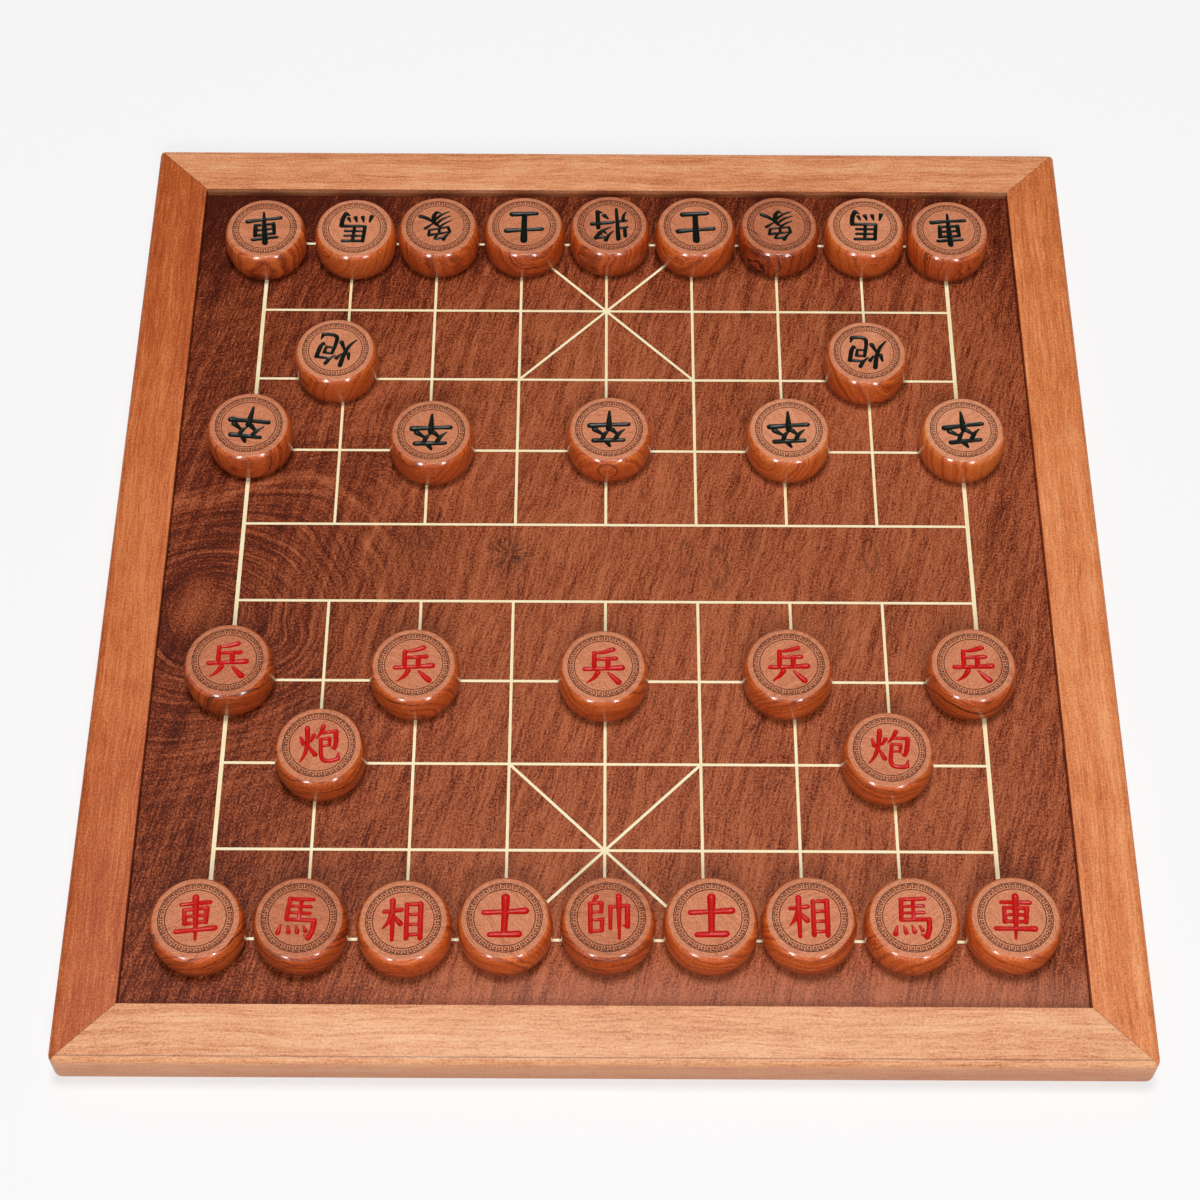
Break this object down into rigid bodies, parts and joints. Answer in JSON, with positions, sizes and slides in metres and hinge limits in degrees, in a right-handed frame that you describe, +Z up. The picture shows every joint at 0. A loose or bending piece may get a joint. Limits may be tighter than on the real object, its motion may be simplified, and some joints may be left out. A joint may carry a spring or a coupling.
{
  "type": "xiangqi board with playing pieces",
  "caption": "Framed wooden xiangqi board with an inlaid grid, set with its round turned playing pieces in their opening places.",
  "frame": {"origin": "on the table under the middle of the board, at the underside of the foot pads", "axes": "+X along the ranks to the near player's right, +Y along the files towards the far (black) side, +Z up"},
  "size_m": [0.498, 0.539, 0.0367],
  "materials": {
    "pale_rail_wood": "satin oil, fine straight grain",
    "red_rail_wood": "satin oil, fine straight grain, redder than the other pair",
    "panel_wood": "satin, dark wavy figure",
    "core_wood": "plain, unfinished",
    "inlay_wood": "satin, pale stringing",
    "red_side_pieces": "matt sanded faces, lacquered sides, red paint in the carved sign",
    "black_side_pieces": "matt sanded faces, lacquered sides, dark green-black paint in the carved sign",
    "pad_rubber": "matt"
  },
  "bodies": {
    "board": {"front_rail": "pale_rail_wood", "back_rail": "pale_rail_wood", "left_rail": "red_rail_wood", "right_rail": "red_rail_wood", "mitre_splines": "core_wood", "foot_pads": "pad_rubber", "board_core": "core_wood", "backing_veneer": "panel_wood", "face_veneer": "panel_wood", "edge_file_inlays": "inlay_wood", "file_inlays": "inlay_wood", "rank_inlays": "inlay_wood", "palace_inlays": "inlay_wood"},
    "red_chariot_left": {"red_chariot_left": "red_side_pieces"},
    "red_horse_left": {"red_horse_left": "red_side_pieces"},
    "red_elephant_left": {"red_elephant_left": "red_side_pieces"},
    "red_advisor_left": {"red_advisor_left": "red_side_pieces"},
    "red_general": {"red_general": "red_side_pieces"},
    "red_advisor_right": {"red_advisor_right": "red_side_pieces"},
    "red_elephant_right": {"red_elephant_right": "red_side_pieces"},
    "red_horse_right": {"red_horse_right": "red_side_pieces"},
    "red_chariot_right": {"red_chariot_right": "red_side_pieces"},
    "red_cannon_left": {"red_cannon_left": "red_side_pieces"},
    "red_cannon_right": {"red_cannon_right": "red_side_pieces"},
    "red_soldier_1": {"red_soldier_1": "red_side_pieces"},
    "red_soldier_2": {"red_soldier_2": "red_side_pieces"},
    "red_soldier_3": {"red_soldier_3": "red_side_pieces"},
    "red_soldier_4": {"red_soldier_4": "red_side_pieces"},
    "red_soldier_5": {"red_soldier_5": "red_side_pieces"},
    "black_soldier_1": {"black_soldier_1": "black_side_pieces"},
    "black_soldier_2": {"black_soldier_2": "black_side_pieces"},
    "black_soldier_3": {"black_soldier_3": "black_side_pieces"},
    "black_soldier_4": {"black_soldier_4": "black_side_pieces"},
    "black_soldier_5": {"black_soldier_5": "black_side_pieces"},
    "black_cannon_left": {"black_cannon_left": "black_side_pieces"},
    "black_cannon_right": {"black_cannon_right": "black_side_pieces"},
    "black_chariot_left": {"black_chariot_left": "black_side_pieces"},
    "black_horse_left": {"black_horse_left": "black_side_pieces"},
    "black_elephant_left": {"black_elephant_left": "black_side_pieces"},
    "black_advisor_left": {"black_advisor_left": "black_side_pieces"},
    "black_general": {"black_general": "black_side_pieces"},
    "black_advisor_right": {"black_advisor_right": "black_side_pieces"},
    "black_elephant_right": {"black_elephant_right": "black_side_pieces"},
    "black_horse_right": {"black_horse_right": "black_side_pieces"},
    "black_chariot_right": {"black_chariot_right": "black_side_pieces"}
  },
  "joints": [
    {"name": "red_chariot_left_lift", "type": "slide", "parent": "board", "child": "red_chariot_left", "axis": [0, 0, 1], "range_m": [0, 0.06]},
    {"name": "red_horse_left_lift", "type": "slide", "parent": "board", "child": "red_horse_left", "axis": [0, 0, 1], "range_m": [0, 0.06]},
    {"name": "red_elephant_left_lift", "type": "slide", "parent": "board", "child": "red_elephant_left", "axis": [0, 0, 1], "range_m": [0, 0.06]},
    {"name": "red_advisor_left_lift", "type": "slide", "parent": "board", "child": "red_advisor_left", "axis": [0, 0, 1], "range_m": [0, 0.06]},
    {"name": "red_general_lift", "type": "slide", "parent": "board", "child": "red_general", "axis": [0, 0, 1], "range_m": [0, 0.06]},
    {"name": "red_advisor_right_lift", "type": "slide", "parent": "board", "child": "red_advisor_right", "axis": [0, 0, 1], "range_m": [0, 0.06]},
    {"name": "red_elephant_right_lift", "type": "slide", "parent": "board", "child": "red_elephant_right", "axis": [0, 0, 1], "range_m": [0, 0.06]},
    {"name": "red_horse_right_lift", "type": "slide", "parent": "board", "child": "red_horse_right", "axis": [0, 0, 1], "range_m": [0, 0.06]},
    {"name": "red_chariot_right_lift", "type": "slide", "parent": "board", "child": "red_chariot_right", "axis": [0, 0, 1], "range_m": [0, 0.06]},
    {"name": "red_cannon_left_lift", "type": "slide", "parent": "board", "child": "red_cannon_left", "axis": [0, 0, 1], "range_m": [0, 0.06]},
    {"name": "red_cannon_right_lift", "type": "slide", "parent": "board", "child": "red_cannon_right", "axis": [0, 0, 1], "range_m": [0, 0.06]},
    {"name": "red_soldier_1_lift", "type": "slide", "parent": "board", "child": "red_soldier_1", "axis": [0, 0, 1], "range_m": [0, 0.06]},
    {"name": "red_soldier_2_lift", "type": "slide", "parent": "board", "child": "red_soldier_2", "axis": [0, 0, 1], "range_m": [0, 0.06]},
    {"name": "red_soldier_3_lift", "type": "slide", "parent": "board", "child": "red_soldier_3", "axis": [0, 0, 1], "range_m": [0, 0.06]},
    {"name": "red_soldier_4_lift", "type": "slide", "parent": "board", "child": "red_soldier_4", "axis": [0, 0, 1], "range_m": [0, 0.06]},
    {"name": "red_soldier_5_lift", "type": "slide", "parent": "board", "child": "red_soldier_5", "axis": [0, 0, 1], "range_m": [0, 0.06]},
    {"name": "black_soldier_1_lift", "type": "slide", "parent": "board", "child": "black_soldier_1", "axis": [0, 0, 1], "range_m": [0, 0.06]},
    {"name": "black_soldier_2_lift", "type": "slide", "parent": "board", "child": "black_soldier_2", "axis": [0, 0, 1], "range_m": [0, 0.06]},
    {"name": "black_soldier_3_lift", "type": "slide", "parent": "board", "child": "black_soldier_3", "axis": [0, 0, 1], "range_m": [0, 0.06]},
    {"name": "black_soldier_4_lift", "type": "slide", "parent": "board", "child": "black_soldier_4", "axis": [0, 0, 1], "range_m": [0, 0.06]},
    {"name": "black_soldier_5_lift", "type": "slide", "parent": "board", "child": "black_soldier_5", "axis": [0, 0, 1], "range_m": [0, 0.06]},
    {"name": "black_cannon_left_lift", "type": "slide", "parent": "board", "child": "black_cannon_left", "axis": [0, 0, 1], "range_m": [0, 0.06]},
    {"name": "black_cannon_right_lift", "type": "slide", "parent": "board", "child": "black_cannon_right", "axis": [0, 0, 1], "range_m": [0, 0.06]},
    {"name": "black_chariot_left_lift", "type": "slide", "parent": "board", "child": "black_chariot_left", "axis": [0, 0, 1], "range_m": [0, 0.06]},
    {"name": "black_horse_left_lift", "type": "slide", "parent": "board", "child": "black_horse_left", "axis": [0, 0, 1], "range_m": [0, 0.06]},
    {"name": "black_elephant_left_lift", "type": "slide", "parent": "board", "child": "black_elephant_left", "axis": [0, 0, 1], "range_m": [0, 0.06]},
    {"name": "black_advisor_left_lift", "type": "slide", "parent": "board", "child": "black_advisor_left", "axis": [0, 0, 1], "range_m": [0, 0.06]},
    {"name": "black_general_lift", "type": "slide", "parent": "board", "child": "black_general", "axis": [0, 0, 1], "range_m": [0, 0.06]},
    {"name": "black_advisor_right_lift", "type": "slide", "parent": "board", "child": "black_advisor_right", "axis": [0, 0, 1], "range_m": [0, 0.06]},
    {"name": "black_elephant_right_lift", "type": "slide", "parent": "board", "child": "black_elephant_right", "axis": [0, 0, 1], "range_m": [0, 0.06]},
    {"name": "black_horse_right_lift", "type": "slide", "parent": "board", "child": "black_horse_right", "axis": [0, 0, 1], "range_m": [0, 0.06]},
    {"name": "black_chariot_right_lift", "type": "slide", "parent": "board", "child": "black_chariot_right", "axis": [0, 0, 1], "range_m": [0, 0.06]}
  ]
}
